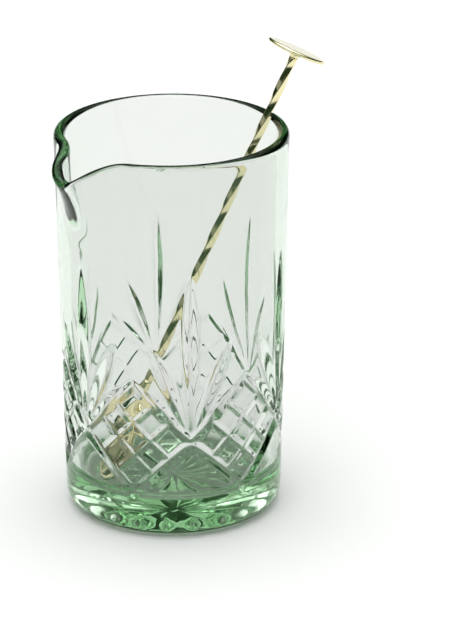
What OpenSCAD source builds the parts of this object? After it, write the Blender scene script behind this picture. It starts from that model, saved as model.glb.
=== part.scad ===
// Mixing glass with a bar spoon standing in it.
// The origin is the centre of the glass's underside, +Z up, and the pouring lip points along -X.
// The glass is one pressed piece. The spoon is a bowl, a twisted stem and a flat disc.

/* [Glass] */
// Height of the glass
glass_h = 150; // [140:1:165]
// Outer diameter at the rim
rim_d = 88.6; // [86:0.2:94]
// Outer diameter at the foot
foot_d = 82.6; // [80:0.2:86]
// Thickness of the wall
wall = 4.4; // [3.6:0.1:5]
// Thickness of the solid base at the middle
base_t = 14; // [12:0.5:18]
// Radius of the rounded edge of the foot
foot_r = 7; // [5:0.5:8]
// Radius between the wall and the floor inside
floor_r = 6; // [4:0.5:8]
// Depth of the hollow under the base
kick_h = 1; // [0.6:0.1:2]

/* [Pouring lip] */
// How far the tip of the lip is from the glass's axis
lip_reach = 52.6; // [50:0.2:55]
// How far the tip of the lip is below the rim
lip_dip = 9; // [6:0.5:11]
// Half the angle that the lip takes up on the rim
lip_half_angle = 21; // [18:1:25]
// Radius of the tip of the lip, seen from above
lip_tip_r = 7.6; // [6:0.2:9]
// Height at which the lip starts to leave the wall
lip_start_h = 114; // [105:1:120]

/* [Cut pattern] */
// Number of fans and of diamonds round the glass
fans = 6; // [6:1:6]
// Height of the point that each fan springs from
node_h = 40.5; // [38:0.5:43]
// Slope of the band lines, from the horizontal
band_slope = 45; // [42:1:48]
// Depth of the band lines
band_depth = 1.5; // [1:0.1:1.8]
// Half angle of the wide flutes' V
flute_half_angle = 64; // [58:1:68]
// Depth of the fine lines inside each diamond
line_depth = 0.9; // [0.6:0.1:1.2]
// Distance between the fine lines
line_pitch = 9.2; // [8.5:0.1:9.6]
// Half angle of the fine lines' V
line_half_angle = 55; // [48:1:60]
// Number of rays in the star under the base
star_rays = 16; // [8:2:16]

/* [Spoon] */
// Length from the tip of the bowl to the top of the disc
spoon_len = 179.5; // [178:0.5:188]
// Side of the square stem
stem_side = 2.6; // [2.2:0.1:2.8]
// Length of stem in which the twist makes one whole turn
twist_pitch = 60; // [40:2:80]
// Diameter of the disc at the top
disc_d = 23; // [18:0.5:26]
// Thickness of the disc
disc_t = 1.4; // [1:0.1:2]
// Length of the bowl
bowl_len = 32; // [28:1:34]
// Width of the bowl
bowl_w = 19; // [16:0.5:20]
// Depth of the bowl
bowl_depth = 3.6; // [2:0.2:4.4]
// Angle that the spoon leans from the vertical
lean = 26.6; // [26.2:0.1:26.6]

/* [Hidden] */
glass_color = [0.72, 0.84, 0.76, 0.45];
metal_color = [0.86, 0.81, 0.58];

lip_dir = 180;                       // direction of the pouring lip
fan_step = 360 / fans;
foot_ring_w = 3;                     // width of the flat ring that the glass stands on
kick_slope_w = 1.2;                  // width of the step up into the hollow
hollow_r = foot_d / 2 - foot_r - foot_ring_w - kick_slope_w;
rim_round_r = wall / 2;
rim_mid_h = glass_h - rim_round_r;
tool_reach = 7;                      // how far a V tool's profile stands out of its edge
ray_start = 3;                       // where a ray of the star starts and ends under the base
ray_end = hollow_r - 1.5;
ray_depth = 1.6;
ray_half_angle = 62;

// Pouring lip
lip_side_r = rim_round_r - 0.5;      // radius and drop of the lip's ends, inside the rim's round
lip_side_drop = 0.3;
lip_fan = 75;                        // half the angle that the round tip turns through
channel_wall = wall - 1.2;           // thickness of the lip at its tip
channel_edge_r = 1;
channel_over = 4;                    // how far the channel's tool stands above the rim
channel_low = 12;                    // depth of the channel at its sides
channel_in = 16;                     // how far the channel's tool reaches in from the wall

// Where the tip of the spoon's bowl stands, and which way the spoon leans
spoon_tip = [-29.2, 6, 14.7];
lean_dir = -15.9;
neck_len = 9;                        // round neck between the bowl and the twisted stem
neck_d = 3.2;
bowl_t = 1.1;
disc_hub_h = 2;
disc_hub_d = 5;
stem_plain_len = 4;                  // round stretch of the stem under the disc

// Each fan's leaves: angle from the vertical, distance of the middle from the node, length, depth
leaves = [
    [0, 34, 62, 1.9],
    [23, 22, 36, 1.6],
    [-23, 22, 36, 1.6],
    [39, 16.5, 24, 1.5],
    [-39, 16.5, 24, 1.5]
];

// Outer and inner radius of the plain wall at height z
function outer_r(z) = (foot_d + (rim_d - foot_d) * z / glass_h) / 2;
function inner_r(z) = outer_r(z) - wall;

// Radius of the wheel that cuts a leaf of this length and depth at this tilt
function wheel_r(length, depth, tilt) =
    1 / (2 * depth / pow(length / 2, 2) - pow(sin(tilt), 2) / outer_r(node_h));

// Outer section of the glass, to the right of the axis
module outer_section() {
    polygon([
        [0, 0],
        [outer_r(foot_r) - foot_r, 0],
        [outer_r(foot_r), foot_r],
        [outer_r(rim_mid_h), rim_mid_h],
        [0, rim_mid_h]
    ]);
    translate([outer_r(foot_r) - foot_r, foot_r]) circle(r = foot_r, $fn = 48);
    translate([outer_r(rim_mid_h) - rim_round_r, rim_mid_h]) circle(r = rim_round_r, $fn = 48);
}

// Section of the space inside, to the right of the axis
module inner_section() {
    bend_h = base_t + floor_r;
    polygon([
        [0, base_t],
        [inner_r(bend_h) - floor_r, base_t],
        [inner_r(bend_h), bend_h],
        [inner_r(rim_mid_h), rim_mid_h],
        [0, rim_mid_h]
    ]);
    intersection() {
        translate([inner_r(bend_h) - floor_r, bend_h]) circle(r = floor_r, $fn = 48);
        translate([0, base_t]) square([inner_r(bend_h), floor_r]);
    }
}

// Section of the shallow hollow under the base
module kick_section() {
    polygon([
        [0, -1],
        [hollow_r + kick_slope_w, -1],
        [hollow_r + kick_slope_w, 0],
        [hollow_r, kick_h],
        [0, kick_h]
    ]);
}

// A ball on the lip at this angle round the glass, distance from the axis and height
module lip_ball(angle, dist, height, ball_r) {
    rotate([0, 0, lip_dir + angle])
        translate([dist, 0, height])
            sphere(r = ball_r, $fn = 24);
}

// Solid lip: a spout that grows out of the wall up to the rim
module lip_outside() {
    side_dist = outer_r(rim_mid_h) - rim_round_r;
    tip_x = lip_reach - lip_tip_r;
    hull() {
        for (side = [-1, 1])
            lip_ball(side * lip_half_angle, side_dist, rim_mid_h - lip_side_drop, lip_side_r);
        for (turn = [-lip_fan:lip_fan / 2:lip_fan])
            translate([-tip_x, 0, 0])
                rotate([0, 0, lip_dir + turn])
                    translate([lip_tip_r - rim_round_r, 0, rim_mid_h - lip_dip])
                        sphere(r = rim_round_r, $fn = 24);
        lip_ball(0, inner_r(lip_start_h) + rim_round_r, lip_start_h, rim_round_r);
    }
}

// Channel inside the lip, open at the top
module lip_channel() {
    tip_x = lip_reach - lip_tip_r;
    side_angle = lip_half_angle - 2;
    side_dist = inner_r(glass_h) - channel_edge_r - 0.6;
    top = glass_h + channel_over;
    hull() {
        for (side = [-1, 1]) {
            lip_ball(side * side_angle, side_dist, top, channel_edge_r);
            lip_ball(side * side_angle, side_dist, glass_h - channel_low, channel_edge_r);
            lip_ball(side * side_angle, inner_r(glass_h) - channel_in, top, channel_edge_r);
        }
        translate([-tip_x, 0, rim_mid_h - lip_dip - 2])
            cylinder(r = lip_tip_r - channel_wall, h = lip_dip + 3, $fn = 24);
        lip_ball(0, inner_r(lip_start_h) - 1, lip_start_h + 6, channel_edge_r);
        lip_ball(0, inner_r(lip_start_h) - 12, lip_start_h + 20, channel_edge_r);
    }
}

// Everything above the sloping top edge of the lip
module lip_dip_cut() {
    side_x = outer_r(rim_mid_h) * cos(lip_half_angle) - 1;
    fall = atan2(lip_dip, lip_reach - rim_round_r - side_x);
    translate([-side_x, 0, glass_h - 0.15])
        rotate([0, -fall, 0])
            translate([-60, -25, 0]) cube([60, 50, 30]);
}

// A ring with a V edge facing inward, whose edge wraps the wall along a sloping line.
// The line's middle is at this angle and height, and it is length long.
module band_tool(angle, height, slope, length, depth, half_angle) {
    wrap_r = outer_r(height) / pow(cos(slope), 2);
    sweep = length / wrap_r * 180 / PI;
    half_w = tool_reach * tan(half_angle);
    rotate([0, 0, angle])
        translate([outer_r(height) - depth - wrap_r, 0, height])
            rotate([slope, 0, 0])
                rotate([0, 0, -sweep / 2])
                    rotate_extrude(angle = sweep, $fn = 180)
                        polygon([
                            [wrap_r, 0],
                            [wrap_r + tool_reach, half_w],
                            [wrap_r + tool_reach, -half_w]
                        ]);
}

// A wheel with a V edge facing outward, which cuts a leaf that is pointed at both ends
module leaf_tool(angle, height, tilt, length, depth) {
    cut_r = wheel_r(length, depth, tilt);
    sweep = 1.4 * length / cut_r * 180 / PI;
    half_w = tool_reach * tan(flute_half_angle);
    rotate([0, 0, angle])
        translate([outer_r(height) - depth + cut_r, 0, height])
            rotate([90 - tilt, 0, 0])
                rotate([0, 0, 180 - sweep / 2])
                    rotate_extrude(angle = sweep, $fn = 180)
                        polygon([
                            [cut_r, 0],
                            [cut_r - tool_reach, half_w],
                            [cut_r - tool_reach, -half_w]
                        ]);
}

// The zigzag bands that cross at each fan's foot
module bands() {
    half_rise = outer_r(node_h) * fan_step / 2 * PI / 180 * tan(band_slope);
    length = 2 * half_rise / sin(band_slope);
    for (k = [0:fans - 1])
        for (slope = [-band_slope, band_slope])
            band_tool(k * fan_step, node_h, slope, length, band_depth, flute_half_angle);
}

// The fine lines that cross inside each diamond
module diamond_lines() {
    shift = line_pitch / 2;
    length = 3 * line_pitch;
    for (k = [0:fans - 1])
        for (side = [-1, 1])
            for (slope = [-band_slope, band_slope]) {
                around = side * shift * sin(band_slope) / outer_r(node_h) * 180 / PI;
                up = -sign(slope) * side * shift * cos(band_slope);
                band_tool((k + 0.5) * fan_step + around, node_h + up, slope, length,
                    line_depth, line_half_angle);
            }
}

// The leaves of each fan
module fan_leaves() {
    for (k = [0:fans - 1])
        for (leaf = leaves) {
            around = leaf[1] * sin(leaf[0]) / outer_r(node_h) * 180 / PI;
            leaf_tool(k * fan_step + around, node_h + leaf[1] * cos(leaf[0]), -leaf[0],
                leaf[2], leaf[3]);
        }
}

// The rays of the star under the base
module star() {
    ray_len = ray_end - ray_start;
    ray_mid = (ray_end + ray_start) / 2;
    cut_r = pow(ray_len / 2, 2) / (2 * ray_depth);
    sweep = 1.3 * ray_len / cut_r * 180 / PI;
    half_w = tool_reach * tan(ray_half_angle);
    for (k = [0:star_rays - 1])
        rotate([0, 0, k * 360 / star_rays])
            translate([ray_mid, 0, kick_h + ray_depth - cut_r])
                rotate([90, 0, 0])
                    rotate([0, 0, 90 - sweep / 2])
                        rotate_extrude(angle = sweep, $fn = 180)
                            polygon([
                                [cut_r, 0],
                                [cut_r - tool_reach, half_w],
                                [cut_r - tool_reach, -half_w]
                            ]);
}

// The glass before its pattern is cut
module plain_glass() {
    difference() {
        union() {
            rotate_extrude($fn = 180) outer_section();
            lip_outside();
        }
        rotate_extrude($fn = 180) inner_section();
        rotate_extrude($fn = 180) kick_section();
        lip_channel();
        lip_dip_cut();
    }
}

// The pressed glass. Each part of the pattern is cut in turn.
module mixing_glass() {
    color(glass_color)
        difference() {
            difference() {
                difference() {
                    difference() {
                        plain_glass();
                        star();
                    }
                    bands();
                }
                diamond_lines();
            }
            fan_leaves();
        }
}

// Puts a spoon part, drawn along +Z with the bowl's tip at the origin, in its leaning place
module leaning() {
    translate(spoon_tip) rotate([0, lean, lean_dir]) children();
}

// Bowl of the spoon: an egg-shaped dished plate, with the round neck that carries it
module spoon_bowl() {
    spokes = 32;
    rings = 6;
    egg = 0.22;
    function edge_w(a) = bowl_w / 2 * sin(a) * (1 - egg * cos(a));
    function edge_z(a) = bowl_len / 2 * (1 + cos(a));
    function mid_z() = bowl_len * 0.46;
    function plate_point(s, a, side) = [
        bowl_depth * (1 - s * s) + side * bowl_t / 2 * (1 - 0.35 * s),
        s * edge_w(a),
        mid_z() + s * (edge_z(a) - mid_z())
    ];
    function skin(side) = concat(
        [plate_point(0, 0, side)],
        [for (i = [1:rings], j = [0:spokes - 1]) plate_point(i / rings, j * 360 / spokes, side)]
    );
    first = 1 + rings * spokes;
    function at(side, i, j) = side * first + 1 + (i - 1) * spokes + j % spokes;
    points = concat(skin(-1), skin(1));
    faces = concat(
        [for (j = [0:spokes - 1]) [0, at(0, 1, j + 1), at(0, 1, j)]],
        [for (j = [0:spokes - 1]) [first, at(1, 1, j), at(1, 1, j + 1)]],
        [for (i = [1:rings - 1], j = [0:spokes - 1])
            [at(0, i, j), at(0, i, j + 1), at(0, i + 1, j + 1), at(0, i + 1, j)]],
        [for (i = [1:rings - 1], j = [0:spokes - 1])
            [at(1, i, j), at(1, i + 1, j), at(1, i + 1, j + 1), at(1, i, j + 1)]],
        [for (j = [0:spokes - 1])
            [at(0, rings, j), at(0, rings, j + 1), at(1, rings, j + 1), at(1, rings, j)]]
    );
    color(metal_color)
        leaning()
            union() {
                polyhedron(points = points, faces = faces);
                translate([0, 0, bowl_len - 2]) cylinder(d1 = 2, d2 = neck_d, h = 3.5, $fn = 32);
                translate([0, 0, bowl_len + 1.5])
                    cylinder(d = neck_d, h = neck_len - 1.5, $fn = 32);
            }
}

// Stem of the spoon: a square bar twisted along its length, round under the disc
module spoon_stem() {
    start = bowl_len + neck_len;
    end = spoon_len - disc_t - disc_hub_h;
    twisted_len = end - start - stem_plain_len;
    color(metal_color)
        leaning() {
            translate([0, 0, start])
                linear_extrude(height = twisted_len, twist = -360 * twisted_len / twist_pitch,
                    slices = 56)
                    square(stem_side, center = true);
            translate([0, 0, start + twisted_len])
                cylinder(d = neck_d, h = stem_plain_len, $fn = 32);
        }
}

// Flat disc at the top of the spoon, with a small hub where the stem joins it
module spoon_disc() {
    edge_r = disc_t / 2;
    color(metal_color)
        leaning()
            translate([0, 0, spoon_len - disc_t])
                union() {
                    rotate_extrude($fn = 96) {
                        square([disc_d / 2 - edge_r, disc_t]);
                        translate([disc_d / 2 - edge_r, edge_r]) circle(r = edge_r, $fn = 32);
                    }
                    translate([0, 0, -disc_hub_h])
                        cylinder(d1 = neck_d + 0.4, d2 = disc_hub_d, h = disc_hub_h + 0.1, $fn = 48);
                }
}

mixing_glass();
spoon_bowl();
spoon_stem();
spoon_disc();
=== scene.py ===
import math

import bpy
import numpy as np
from mathutils import Matrix, Vector


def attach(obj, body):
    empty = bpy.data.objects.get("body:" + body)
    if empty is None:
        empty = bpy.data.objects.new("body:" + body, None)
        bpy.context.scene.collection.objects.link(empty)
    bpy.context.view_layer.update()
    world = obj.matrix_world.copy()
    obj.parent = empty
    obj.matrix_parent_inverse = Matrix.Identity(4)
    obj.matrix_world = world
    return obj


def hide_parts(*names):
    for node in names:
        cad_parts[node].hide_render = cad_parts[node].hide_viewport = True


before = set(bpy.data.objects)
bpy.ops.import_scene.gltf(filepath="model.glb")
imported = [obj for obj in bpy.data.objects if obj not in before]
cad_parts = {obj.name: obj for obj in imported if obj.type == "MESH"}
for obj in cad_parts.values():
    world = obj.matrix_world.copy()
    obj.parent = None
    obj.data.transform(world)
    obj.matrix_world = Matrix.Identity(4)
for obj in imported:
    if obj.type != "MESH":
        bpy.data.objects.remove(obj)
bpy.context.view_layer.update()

# Shapes are worked out in millimetres, and scaled once, in make_mesh.
MM = 0.001

# Glass: a slightly tapered wall on a thick base. BEND_R rounds the inside at the foot of the wall.
GLASS_H = 150.0
RIM_R = 44.3
FOOT_R = 41.3
WALL = 4.4
HALF_WALL = WALL / 2
BASE_T = 14.0
BEND_R = 6.0
RIM_MID_H = GLASS_H - HALF_WALL

# Foot: a rounded heel, a flat ring that it stands on, and a shallow hollow inside the ring.
# FLAT_IN and FLAT_OUT keep the flat ring's points a little away from the curves beside it.
HEEL_R = 7.0
FOOT_RING_IN = 31.3
FLAT_IN = 0.2
FLAT_OUT = 0.3
HOLLOW_H = 1.0
HOLLOW_R = 30.1
HOLLOW_CROWN = 0.2

# Star under the base. Its rays widen from the middle and come to a point near the hollow's edge.
# STAR_SWELL sets how far out they are widest, and STAR_ROUND how round their sides are.
STAR_RAYS = 16
STAR_DEPTH = 2.4
STAR_HALF_W = 4.4
STAR_START = 1.5
STAR_END = HOLLOW_R - 1.0
STAR_SWELL = 2.1
STAR_ROUND = 0.8

# Pouring lip, along -X. Its angles are in degrees round the rim, away from the lip's middle.
# LIP_SQUARE sets how square it is from above, and LIP_LATE how late it swells on the way up.
LIP_START_H = 112.0
LIP_OUT = 8.3
LIP_ANGLE = 14.5
LIP_SQUARE = 3.2
LIP_LATE = 1.8
LIP_DIP = 9.6
FALL_ANGLE = 7.2
FALL_ROUND = 9.0
PINCH = 0.7
PINCH_ANGLE = 25.0
PINCH_W = 6.0

# Cut pattern. Each fan's leaves spring from a node on the wall, where the bands cross.
FANS = 6
SECTOR = 2 * math.pi / FANS
NODE_H = 40.5
NODE_R = 42.1
PATTERN_LOW = 12.0
PATTERN_HIGH = 108.5
BAND_HALF_W = 2.3
BAND_DEPTH = 1.3
ARCH_R = 3.0
ARCH_DROP = 0.3
LINE_PITCH = 9.2
LINE_HALF_W = 1.5
LINE_DEPTH = 0.85
# Each leaf: angle from the vertical, length, half width, where along it it is widest, depth
LEAVES = (
    (0.0, 67.0, 3.3, 0.58, 2.8),
    (21.5, 41.0, 3.0, 0.62, 2.5),
    (-21.5, 41.0, 3.0, 0.62, 2.5),
    (41.0, 28.0, 2.7, 0.62, 2.1),
    (-41.0, 28.0, 2.7, 0.62, 2.1),
)
# LEAF_STEEP shapes a leaf's section, and LEAF_ROUND its outline
LEAF_STEEP = 1.2
LEAF_ROUND = 0.8

# Grid of the glass's skin: points round it where it is patterned and where it is plain.
# Up to SQUARE_HIGH the patterned rows are as far apart as the points, and above it twice that.
# SOFTEN is the weight of a point, against 1 for each neighbour, where the pattern is softened.
FINE = 504
COARSE = 168
SQUARE_HIGH = 66.0
SOFTEN = 4

# Rings across each stretch of the glass's skin
STAR_FIRST_R = 1.2
STAR_RINGS = 30
FLAT_RINGS = 3
PLAIN_RINGS = 7
BEND_RINGS = 9
LIP_RINGS = 20
RIM_RINGS = 13

# Spoon, drawn upright with the bowl's tip at the origin, then leaned. BOWL_MIDDLE and DISC_FLAT
# are parts of the bowl's length and the disc's radius, and BOWL_EGG makes the bowl wider at its tip.
SPOON_TIP = Vector((-29.2, 6.0, 14.7))
LEAN = math.radians(26.6)
LEAN_DIR = math.radians(-15.9)
SPOON_LEN = 179.5
BOWL_LEN = 32.0
BOWL_W = 19.0
BOWL_DEPTH = 3.6
BOWL_T = 1.1
BOWL_MIDDLE = 0.46
BOWL_EGG = 0.22
NECK_LEN = 9.0
NECK_R = 1.6
NECK_ROOT_R = 0.5
NECK_INTO_BOWL = 4.0
NECK_SWELL = 7.0
STEM_SIDE = 2.6
STEM_EDGE_R = 0.3
STEM_STEP = 0.7
TWIST_PITCH = 60.0
PLAIN_LEN = 4.0
DISC_R = 11.5
DISC_T = 1.4
DISC_FLAT = 0.6
HUB_H = 2.0
HUB_R = NECK_R + 0.2
HUB_FLARE = 2.2

# Points round each skin of the spoon, and rings across each stretch of it
BOWL_POINTS = 72
BOWL_RINGS = 16
BOWL_EDGE_RINGS = 7
NECK_POINTS = 32
NECK_RINGS = 20
STEM_CORNER_POINTS = 6
HUB_RINGS = 8
DISC_EDGE_RINGS = 11
DISC_POINTS = 96

# Studio floor, just under the glass
FLOOR_DROP = 0.2
FLOOR_RADII = (100, 1000, 8000)
FLOOR_POINTS = 64

# Camera, in metres and degrees
CAMERA_PLACE = (-0.8322, -1.0293, 0.5961)
CAMERA_DOWN = 21.44
CAMERA_TURN = -40
CAMERA_LENS = 215.3

# Each light: name, place, width and height in metres, power in watts
LIGHTS = (
    ("key", (-1.2, -0.6, 1.6), (1.0, 1.0), 4.6),
    ("top", (0.2, 0.3, 2.0), (1.2, 1.2), 7.2),
    ("side", (-1.06, 0.76, 0.45), (0.9, 0.7), 0.6),
)
LIGHT_AIM = (0, 0, 0.07)


# Shared mesh tools ---------------------------------------------------------------------------------

def make_mesh(name, points, faces, material):
    """A new smooth-shaded object from points in millimetres and lists of corners."""
    mesh = bpy.data.meshes.new(name)
    mesh.from_pydata([tuple(p) for p in np.asarray(points) * MM], [], [tuple(f) for f in faces])
    mesh.validate()
    mesh.update()
    mesh.polygons.foreach_set("use_smooth", [True] * len(mesh.polygons))
    mesh.materials.append(material)
    piece = bpy.data.objects.new(name, mesh)
    bpy.context.scene.collection.objects.link(piece)
    return piece


class Skin:
    """A closed skin built ring by ring. Each ring is an array of points that closes on itself."""

    def __init__(self):
        self.points = []
        self.faces = []
        self.count = 0
        self.last = None

    def pole(self, point):
        self.points.append(np.array([point], float))
        index = self.count
        self.count += 1
        if self.last is None:
            self.last = ("pole", index, 1)
            return
        _, start, n = self.last
        for j in range(n):
            self.faces.append((start + j, start + (j + 1) % n, index))

    def ring(self, ring, centres=None):
        ring = np.asarray(ring, float)
        n = len(ring)
        start = self.count
        self.points.append(ring)
        self.count += n
        if self.last is not None:
            kind, old, m = self.last
            if kind == "pole":
                for j in range(n):
                    self.faces.append((old, start + (j + 1) % n, start + j))
            elif m == n:
                self.strip(old, start, n, centres)
            elif m > n:
                self.step(old, m, start, n, False)
            else:
                self.step(start, n, old, m, True)
        self.last = ("ring", start, n)

    def strip(self, old, new, n, centres):
        """Triangles between two equal rings. centres picks the diagonal that follows a crease."""
        if centres is None:
            pick = np.zeros(n, bool)
        else:
            a = self.points[-2]
            b = self.points[-1]
            first = (a + np.roll(b, -1, axis=0)) / 2
            second = (np.roll(a, -1, axis=0) + b) / 2
            pick = (np.linalg.norm(second - centres, axis=1)
                    < np.linalg.norm(first - centres, axis=1))
        for j in range(n):
            k = (j + 1) % n
            if pick[j]:
                self.faces.append((old + j, old + k, new + j))
                self.faces.append((old + k, new + k, new + j))
            else:
                self.faces.append((old + j, old + k, new + k))
                self.faces.append((old + j, new + k, new + j))

    def step(self, fine, m, coarse, n, flip):
        """Joins a ring of m points to one of n, where m is a whole number of times n."""
        ratio = m // n
        for j in range(n):
            here = coarse + j
            after = coarse + (j + 1) % n
            for k in range(ratio):
                p = fine + (j * ratio + k) % m
                q = fine + (j * ratio + k + 1) % m
                self.faces.append((q, p, here) if flip else (p, q, here))
            q = fine + ((j + 1) * ratio) % m
            self.faces.append((after, q, here) if flip else (q, after, here))

    def all_points(self):
        return np.concatenate(self.points)


def angles(n, shift=0.0):
    return (np.arange(n) + shift) * 2 * math.pi / n


# Glass ---------------------------------------------------------------------------------------------

def outer_r(z):
    return FOOT_R + (RIM_R - FOOT_R) * z / GLASS_H


def leaf_depth(u, v, leaf):
    """Depth of one leaf of the fan: a V whose width swells and comes to a point."""
    tilt, length, half_w, widest, depth = leaf
    c = math.cos(math.radians(tilt))
    s = math.sin(math.radians(tilt))
    along = (u * s + v * c) / length
    across = np.abs(u * c - v * s)
    # this power brings the middle of the sine to the leaf's widest place
    power = math.log(0.5) / math.log(widest)
    t = np.clip(along, 0, 1) ** power
    w = half_w * np.sin(math.pi * t) ** LEAF_ROUND
    return np.clip((w - across) / half_w, 0, None) ** LEAF_STEEP * depth


def groove(distance, half_w, depth):
    """Depth of a plain V groove at this distance from its middle."""
    return np.clip(1 - distance / half_w, 0, None) * depth


def cut_depth(angle, z):
    """Depth of the pattern below the plain wall, for arrays of angles and heights."""
    # u runs round the wall and v up it, both from the nearest node
    side = (angle + SECTOR / 2) % SECTOR - SECTOR / 2
    u = side * NODE_R
    v = z - NODE_H + 0 * u
    half = NODE_R * SECTOR / 2
    root2 = math.sqrt(2)
    reach = np.abs(v) < half + BAND_HALF_W * root2
    # the bands cross at the node, and below it they spread from a round arch
    arch = np.sqrt(u * u + ARCH_R ** 2) - ARCH_DROP * ARCH_R
    off = np.abs(np.abs(v) - np.where(v < 0, arch, np.abs(u)))
    depth = np.where(reach, groove(off / root2, BAND_HALF_W, BAND_DEPTH), 0)
    # fine lines, inside the diamond whose middle is on the sector's edge
    a = (half - np.abs(u) + v) / root2
    b = (half - np.abs(u) - v) / root2
    inside = (np.abs(a) < half / root2) & (np.abs(b) < half / root2)
    lines = np.maximum(
        groove(np.abs(np.abs(a) - LINE_PITCH / 2), LINE_HALF_W, LINE_DEPTH),
        groove(np.abs(np.abs(b) - LINE_PITCH / 2), LINE_HALF_W, LINE_DEPTH),
    )
    depth = np.maximum(depth, np.where(inside, lines, 0))
    for leaf in LEAVES:
        depth = np.maximum(depth, leaf_depth(u, v, leaf))
    return depth


def from_lip(angle):
    """Angle away from the lip, in degrees, always positive."""
    return np.degrees(np.abs(angle % (2 * math.pi) - math.pi))


def lip_push(angle):
    """How far the rim stands out of its circle: the lip, and a slight pinch on each side of it."""
    away = from_lip(angle)
    push = LIP_OUT * np.exp(-(away / LIP_ANGLE) ** LIP_SQUARE)
    return push - PINCH * np.exp(-((away - PINCH_ANGLE) / PINCH_W) ** 2)


def lip_fall(angle):
    """How far the rim dips below its full height."""
    away = np.sqrt(from_lip(angle) ** 2 + FALL_ROUND ** 2) - FALL_ROUND
    return LIP_DIP * np.exp(-away / FALL_ANGLE)


def middle_ring(s, n):
    """Middle of the wall, s from 0 where the lip starts to 1 at the rim: points and outward normals."""
    a = angles(n)
    z = LIP_START_H + s * (RIM_MID_H - lip_fall(a) - LIP_START_H)
    r = outer_r(z) - HALF_WALL + lip_push(a) * s ** LIP_LATE
    p = np.stack([r * np.cos(a), r * np.sin(a), z], axis=1)
    tangent = np.roll(p, -1, axis=0) - np.roll(p, 1, axis=0)
    tangent[:, 2] = 0
    tangent /= np.linalg.norm(tangent, axis=1)[:, None]
    normal = np.stack([tangent[:, 1], -tangent[:, 0], np.zeros(n)], axis=1)
    return p, normal


def round_ring(r, z, n, shift=0.0):
    a = angles(n, shift)
    return np.stack([r * np.cos(a), r * np.sin(a), z + 0 * a], axis=1)


def star_lift(r, angle):
    """How far the star's rays are cut up into the base, above the hollow."""
    step = 2 * math.pi / STAR_RAYS
    side = np.abs((angle + step / 2) % step - step / 2) * r
    t = np.clip((r - STAR_START) / (STAR_END - STAR_START), 0, 1) ** STAR_SWELL
    half_w = STAR_HALF_W * math.sin(math.pi * t) ** STAR_ROUND
    return np.clip((half_w - side) / STAR_HALF_W, 0, None) * STAR_DEPTH


def pattern_rows():
    """Points of the patterned wall, its grid softened a little, and the cells' true middles."""
    step = NODE_R * 2 * math.pi / FINE
    low = NODE_H - step * math.floor((NODE_H - PATTERN_LOW) / step)
    square = np.arange(low, SQUARE_HIGH, step)
    heights = np.concatenate([square, np.arange(square[-1] + 2 * step, PATTERN_HIGH, 2 * step)])
    depth = cut_depth(angles(FINE)[None, :], heights[:, None])
    soft = (np.roll(depth, 1, axis=1) + np.roll(depth, -1, axis=1) + SOFTEN * depth) / (SOFTEN + 2)
    soft[1:-1] = (soft[:-2] + soft[2:] + SOFTEN * soft[1:-1]) / (SOFTEN + 2)
    rows = [round_ring(outer_r(z) - d, z, FINE) for z, d in zip(heights, soft)]
    mid_heights = (heights[:-1] + heights[1:]) / 2
    mid_depth = cut_depth(angles(FINE, 0.5)[None, :], mid_heights[:, None])
    middles = [round_ring(outer_r(z) - d, z, FINE, 0.5) for z, d in zip(mid_heights, mid_depth)]
    return rows, middles


def add_underside(skin):
    """The hollow with its star, the step down from it, and the flat ring."""
    skin.pole((0, 0, HOLLOW_H + HOLLOW_CROWN))
    for r in np.linspace(STAR_FIRST_R, HOLLOW_R, STAR_RINGS):
        ring = round_ring(r, HOLLOW_H, COARSE)
        ring[:, 2] += star_lift(r, angles(COARSE))
        skin.ring(ring)
    # the step follows half a wave of a cosine
    for t in (0.25, 0.6, 0.9):
        skin.ring(round_ring(HOLLOW_R + t * (FOOT_RING_IN - HOLLOW_R),
                             HOLLOW_H * (1 + math.cos(math.pi * t)) / 2, COARSE))
    heel_mid = outer_r(HEEL_R) - HEEL_R
    for r in np.linspace(FOOT_RING_IN + FLAT_IN, heel_mid - FLAT_OUT, FLAT_RINGS):
        skin.ring(round_ring(r, 0, COARSE))


def add_heel(skin):
    """The rounded edge of the foot, and the plain wall up to the pattern."""
    heel_mid = outer_r(HEEL_R) - HEEL_R
    for t in np.linspace(0, math.pi / 2, BEND_RINGS):
        skin.ring(round_ring(heel_mid + HEEL_R * math.sin(t), HEEL_R * (1 - math.cos(t)), COARSE))
    for z in np.linspace(HEEL_R, PATTERN_LOW, PLAIN_RINGS)[1:-1]:
        skin.ring(round_ring(outer_r(z), z, COARSE))


def add_pattern(skin):
    rows, middles = pattern_rows()
    skin.ring(rows[0])
    for row, centres in zip(rows[1:], middles):
        skin.ring(row, centres)


def add_rim(skin):
    """The plain wall above the pattern, the rounded rim and the inside down to the lip's start."""
    for s in np.linspace(0, 1, LIP_RINGS):
        p, normal = middle_ring(s, COARSE)
        skin.ring(p + normal * HALF_WALL)
    for t in np.linspace(0, math.pi, RIM_RINGS)[1:-1]:
        p, normal = middle_ring(1, COARSE)
        ring = p + normal * HALF_WALL * math.cos(t)
        ring[:, 2] += HALF_WALL * math.sin(t)
        skin.ring(ring)
    for s in np.linspace(1, 0, LIP_RINGS):
        p, normal = middle_ring(s, COARSE)
        skin.ring(p - normal * HALF_WALL)


def add_inside(skin):
    """The inside of the wall, the bend at its foot and the floor."""
    bend_h = BASE_T + BEND_R
    for z in np.linspace(LIP_START_H, bend_h, PLAIN_RINGS)[1:]:
        skin.ring(round_ring(outer_r(z) - WALL, z, COARSE))
    floor_mid = outer_r(bend_h) - WALL - BEND_R
    for t in np.linspace(0, math.pi / 2, BEND_RINGS)[1:]:
        skin.ring(round_ring(floor_mid + BEND_R * math.cos(t), bend_h - BEND_R * math.sin(t), COARSE))
    for r in np.linspace(floor_mid, 0, PLAIN_RINGS)[1:-1]:
        skin.ring(round_ring(r, BASE_T, COARSE))
    skin.pole((0, 0, BASE_T))


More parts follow.
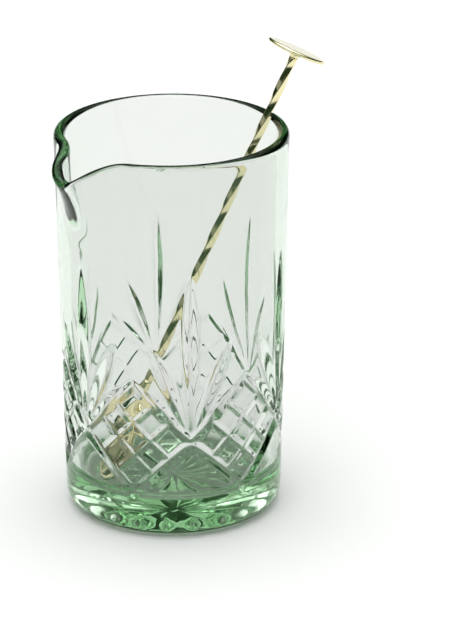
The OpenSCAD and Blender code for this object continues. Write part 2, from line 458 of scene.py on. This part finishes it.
def make_glass(material):
    """The whole skin of the glass, from the middle of the underside round to the middle of the floor."""
    skin = Skin()
    add_underside(skin)
    add_heel(skin)
    add_pattern(skin)
    add_rim(skin)
    add_inside(skin)
    piece = make_mesh("glass_body", skin.all_points(), skin.faces, material)
    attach(piece, "glass")
    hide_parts("mixing_glass")


# Spoon ---------------------------------------------------------------------------------------------

def lean_points(points):
    """Takes points drawn along +Z, with the bowl's tip at the origin, to their leaning place."""
    turn = Matrix.Rotation(LEAN_DIR, 3, "Z") @ Matrix.Rotation(LEAN, 3, "Y")
    return np.asarray(points) @ np.array(turn).T + np.array(SPOON_TIP)


def add_spoon(piece, node):
    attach(piece, "spoon")
    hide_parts(node)


def make_disc(material):
    """The flat disc with a rounded edge, and the small hub that takes the stem."""
    base = SPOON_LEN - DISC_T
    edge = DISC_T / 2
    outline = [(HUB_R, base - HUB_H)]
    for t in np.linspace(0, math.pi / 2, HUB_RINGS)[1:]:
        outline.append((HUB_R + HUB_FLARE * (1 - math.cos(t)), base - HUB_H * (1 - math.sin(t))))
    outline.append((DISC_R * DISC_FLAT, base))
    for t in np.linspace(-math.pi / 2, math.pi / 2, DISC_EDGE_RINGS):
        outline.append((DISC_R - edge + edge * math.cos(t), base + edge + edge * math.sin(t)))
    outline.append((DISC_R * DISC_FLAT, SPOON_LEN))
    skin = Skin()
    skin.pole((0, 0, base - HUB_H))
    for r, z in outline:
        skin.ring(round_ring(r, z, DISC_POINTS))
    skin.pole((0, 0, SPOON_LEN))
    points = lean_points(skin.all_points())
    add_spoon(make_mesh("spoon_disc_plate", points, skin.faces, material), "spoon_disc")


def stem_section(half, corner, turn):
    """A square with rounded corners, turned about the stem."""
    points = []
    for k in range(4):
        for t in np.linspace(0, math.pi / 2, STEM_CORNER_POINTS):
            x = half - corner + corner * math.cos(t)
            y = half - corner + corner * math.sin(t)
            a = turn + k * math.pi / 2
            points.append((x * math.cos(a) - y * math.sin(a), x * math.sin(a) + y * math.cos(a)))
    return np.array(points)


def make_stem(material):
    """The square bar with its twist, which turns round at both ends."""
    start = BOWL_LEN + NECK_LEN
    end = SPOON_LEN - DISC_T - HUB_H
    skin = Skin()
    skin.pole((0, 0, start))
    # the small extra keeps the last ring, which rounding could drop
    for z in np.arange(start, end + 0.01, STEM_STEP):
        into = min(z - start, end - z)
        square = np.clip(into / PLAIN_LEN, 0, 1)
        square = square * square * (3 - 2 * square)
        half = NECK_R + (STEM_SIDE / 2 - NECK_R) * square
        corner = half + (STEM_EDGE_R - half) * square
        turn = 2 * math.pi * (z - start) / TWIST_PITCH
        section = stem_section(half, corner, turn)
        skin.ring(np.column_stack([section, np.full(len(section), min(z, end))]))
    skin.pole((0, 0, end))
    points = lean_points(skin.all_points())
    add_spoon(make_mesh("spoon_stem_bar", points, skin.faces, material), "spoon_stem")


def make_bowl(material):
    """The dished bowl: an egg-shaped plate of even thickness that runs into the round neck."""
    middle = BOWL_LEN * BOWL_MIDDLE
    a = angles(BOWL_POINTS)
    edge_w = BOWL_W / 2 * np.sin(a) * (1 - BOWL_EGG * np.cos(a))
    edge_z = BOWL_LEN / 2 * (1 + np.cos(a))

    def plate(s, side):
        x = BOWL_DEPTH * (1 - s * s) + side * BOWL_T / 2
        return np.column_stack([np.full(BOWL_POINTS, x), s * edge_w, middle + s * (edge_z - middle)])

    skin = Skin()
    skin.pole((BOWL_DEPTH - BOWL_T / 2, 0, middle))
    for i in range(1, BOWL_RINGS + 1):
        skin.ring(plate(i / BOWL_RINGS, -1))
    for t in np.linspace(-1, 1, BOWL_EDGE_RINGS)[1:-1]:
        ring = plate(1, t)
        bulge = math.sqrt(1 - t * t) * BOWL_T / 2
        ring[:, 1] += np.sign(edge_w) * np.abs(np.sin(a)) * bulge
        ring[:, 2] += np.cos(a) * bulge
        skin.ring(ring)
    for i in range(BOWL_RINGS, 0, -1):
        skin.ring(plate(i / BOWL_RINGS, 1))
    skin.pole((BOWL_DEPTH + BOWL_T / 2, 0, middle))
    neck_start = BOWL_LEN - NECK_INTO_BOWL
    neck = Skin()
    neck.pole((0, 0, neck_start))
    for z in np.linspace(neck_start, BOWL_LEN + NECK_LEN, NECK_RINGS):
        t = np.clip((z - neck_start) / NECK_SWELL, 0, 1)
        r = NECK_ROOT_R + (NECK_R - NECK_ROOT_R) * t * t * (3 - 2 * t)
        neck.ring(round_ring(r, z, NECK_POINTS))
    neck.pole((0, 0, BOWL_LEN + NECK_LEN))
    shift = skin.count
    points = np.concatenate([skin.all_points(), neck.all_points()])
    faces = skin.faces + [tuple(i + shift for i in f) for f in neck.faces]
    add_spoon(make_mesh("spoon_bowl_dish", lean_points(points), faces, material), "spoon_bowl")


# Materials -----------------------------------------------------------------------------------------

def new_material(name):
    material = bpy.data.materials.new(name)
    material.use_nodes = True
    tree = material.node_tree
    tree.nodes.clear()
    return material, tree


def glass_material():
    """Pale green pressed glass, with the colour in its depth, and painted shade on its surface: a green
    tint dims its reflections.
    """
    material, tree = new_material("green_glass")
    out = tree.nodes.new("ShaderNodeOutputMaterial")
    shader = tree.nodes.new("ShaderNodeBsdfPrincipled")
    shader.inputs["Base Color"].default_value = (0.875, 0.86, 0.875, 1)
    shader.inputs["Roughness"].default_value = 0.0
    shader.inputs["IOR"].default_value = 1.5
    shader.inputs["Transmission Weight"].default_value = 1.0
    # painted shade: this green specular tint dims every reflection and turns it green, so the rim and
    # lip look dark green
    shader.inputs["Specular Tint"].default_value = (0.30, 0.60, 0.30, 1)
    absorb = tree.nodes.new("ShaderNodeVolumeAbsorption")
    absorb.inputs["Color"].default_value = (0.30, 0.73, 0.30, 1)
    absorb.inputs["Density"].default_value = 19.0
    # the slight waves that a pressing leaves
    where = tree.nodes.new("ShaderNodeTexCoord")
    waves = tree.nodes.new("ShaderNodeTexNoise")
    waves.inputs["Scale"].default_value = 70.0
    waves.inputs["Detail"].default_value = 1.0
    bump = tree.nodes.new("ShaderNodeBump")
    bump.inputs["Strength"].default_value = 0.12
    bump.inputs["Distance"].default_value = 0.0006
    # the chill marks that are left in the pattern and the thick base, fading out above them
    marks = tree.nodes.new("ShaderNodeTexNoise")
    marks.inputs["Scale"].default_value = 120.0
    marks.inputs["Detail"].default_value = 0.5
    marks.inputs["Distortion"].default_value = 1.5
    height = tree.nodes.new("ShaderNodeSeparateXYZ")
    fade = tree.nodes.new("ShaderNodeMapRange")
    fade.inputs["From Min"].default_value = 0.02
    fade.inputs["From Max"].default_value = 0.06
    fade.inputs["To Min"].default_value = 0.22
    fade.inputs["To Max"].default_value = 0.0
    chill = tree.nodes.new("ShaderNodeBump")
    chill.inputs["Distance"].default_value = 0.0003
    tree.links.new(where.outputs["Object"], waves.inputs["Vector"])
    tree.links.new(where.outputs["Object"], marks.inputs["Vector"])
    tree.links.new(where.outputs["Object"], height.inputs["Vector"])
    tree.links.new(height.outputs["Z"], fade.inputs["Value"])
    tree.links.new(waves.outputs["Fac"], bump.inputs["Height"])
    tree.links.new(marks.outputs["Fac"], chill.inputs["Height"])
    tree.links.new(fade.outputs["Result"], chill.inputs["Strength"])
    tree.links.new(bump.outputs["Normal"], chill.inputs["Normal"])
    tree.links.new(chill.outputs["Normal"], shader.inputs["Normal"])
    tree.links.new(shader.outputs["BSDF"], out.inputs["Surface"])
    tree.links.new(absorb.outputs["Volume"], out.inputs["Volume"])
    return material


def gold_material():
    """Polished pale gold plating, with faint polishing marks."""
    material, tree = new_material("gold_metal")
    out = tree.nodes.new("ShaderNodeOutputMaterial")
    shader = tree.nodes.new("ShaderNodeBsdfPrincipled")
    shader.inputs["Metallic"].default_value = 1.0
    shader.inputs["Base Color"].default_value = (0.86, 0.79, 0.50, 1)
    where = tree.nodes.new("ShaderNodeTexCoord")
    cloud = tree.nodes.new("ShaderNodeTexNoise")
    cloud.inputs["Scale"].default_value = 220.0
    cloud.inputs["Detail"].default_value = 3.0
    rough = tree.nodes.new("ShaderNodeMapRange")
    rough.inputs["To Min"].default_value = 0.08
    rough.inputs["To Max"].default_value = 0.20
    marks = tree.nodes.new("ShaderNodeTexNoise")
    marks.inputs["Scale"].default_value = 1500.0
    bump = tree.nodes.new("ShaderNodeBump")
    bump.inputs["Strength"].default_value = 0.06
    bump.inputs["Distance"].default_value = 0.0001
    tree.links.new(where.outputs["Object"], cloud.inputs["Vector"])
    tree.links.new(where.outputs["Object"], marks.inputs["Vector"])
    tree.links.new(cloud.outputs["Fac"], rough.inputs["Value"])
    tree.links.new(rough.outputs["Result"], shader.inputs["Roughness"])
    tree.links.new(marks.outputs["Fac"], bump.inputs["Height"])
    tree.links.new(bump.outputs["Normal"], shader.inputs["Normal"])
    tree.links.new(shader.outputs["BSDF"], out.inputs["Surface"])
    return material


def floor_material():
    material, tree = new_material("white_floor")
    out = tree.nodes.new("ShaderNodeOutputMaterial")
    shader = tree.nodes.new("ShaderNodeBsdfDiffuse")
    shader.inputs["Color"].default_value = (0.92, 0.92, 0.92, 1)
    tree.links.new(shader.outputs["BSDF"], out.inputs["Surface"])
    return material


# Stage ---------------------------------------------------------------------------------------------

def make_floor():
    skin = Skin()
    skin.pole((0, 0, -FLOOR_DROP))
    for r in FLOOR_RADII:
        skin.ring(round_ring(r, -FLOOR_DROP, FLOOR_POINTS))
    floor = make_mesh("floor", skin.all_points(), skin.faces, floor_material())


def make_world():
    """A studio: bright overhead, darker towards the horizon."""
    world = bpy.data.worlds.new("studio")
    bpy.context.scene.world = world
    world.use_nodes = True
    tree = world.node_tree
    tree.nodes.clear()
    out = tree.nodes.new("ShaderNodeOutputWorld")
    back = tree.nodes.new("ShaderNodeBackground")
    where = tree.nodes.new("ShaderNodeTexCoord")
    split = tree.nodes.new("ShaderNodeSeparateXYZ")
    ramp = tree.nodes.new("ShaderNodeValToRGB")
    dim = (0.006, 0.015, 0.006, 1)
    haze = (0.12, 0.145, 0.11, 1)
    bright = (0.8, 0.8, 0.8, 1)
    white = (1, 1, 1, 1)
    stops = ((0.0, dim), (0.36, dim), (0.60, haze), (0.80, bright), (1.0, white))
    ramp.color_ramp.elements[0].position = stops[0][0]
    ramp.color_ramp.elements[0].color = stops[0][1]
    ramp.color_ramp.elements[1].position = stops[-1][0]
    ramp.color_ramp.elements[1].color = stops[-1][1]
    for place, colour in stops[1:-1]:
        ramp.color_ramp.elements.new(place).color = colour
    back.inputs["Strength"].default_value = 2.0
    tree.links.new(where.outputs["Generated"], split.inputs["Vector"])
    tree.links.new(split.outputs["Z"], ramp.inputs["Fac"])
    tree.links.new(ramp.outputs["Color"], back.inputs["Color"])
    tree.links.new(back.outputs["Background"], out.inputs["Surface"])


def make_light(name, place, size, power):
    """An area light that faces the glass."""
    data = bpy.data.lights.new(name, "AREA")
    data.shape = "RECTANGLE"
    data.size = size[0]
    data.size_y = size[1]
    data.energy = power
    light = bpy.data.objects.new(name, data)
    light.location = place
    toward = Vector(LIGHT_AIM) - Vector(place)
    light.rotation_euler = toward.to_track_quat("-Z", "Y").to_euler()
    bpy.context.scene.collection.objects.link(light)


def make_camera():
    data = bpy.data.cameras.new("camera")
    data.sensor_width = 36.0
    data.lens = CAMERA_LENS
    data.clip_start = 0.05
    data.clip_end = 50.0
    camera = bpy.data.objects.new("camera", data)
    camera.location = CAMERA_PLACE
    camera.rotation_euler = (math.radians(90 - CAMERA_DOWN), 0, math.radians(CAMERA_TURN))
    bpy.context.scene.collection.objects.link(camera)
    bpy.context.scene.camera = camera


make_camera()
glass = glass_material()
gold = gold_material()
make_glass(glass)
make_disc(gold)
make_stem(gold)
make_bowl(gold)
make_floor()
make_world()
for light in LIGHTS:
    make_light(*light)

scene = bpy.context.scene
scene.view_settings.view_transform = "Standard"
scene.cycles.max_bounces = 24
scene.cycles.transmission_bounces = 24
scene.cycles.glossy_bounces = 8
scene.cycles.diffuse_bounces = 4
scene.cycles.use_denoising = True
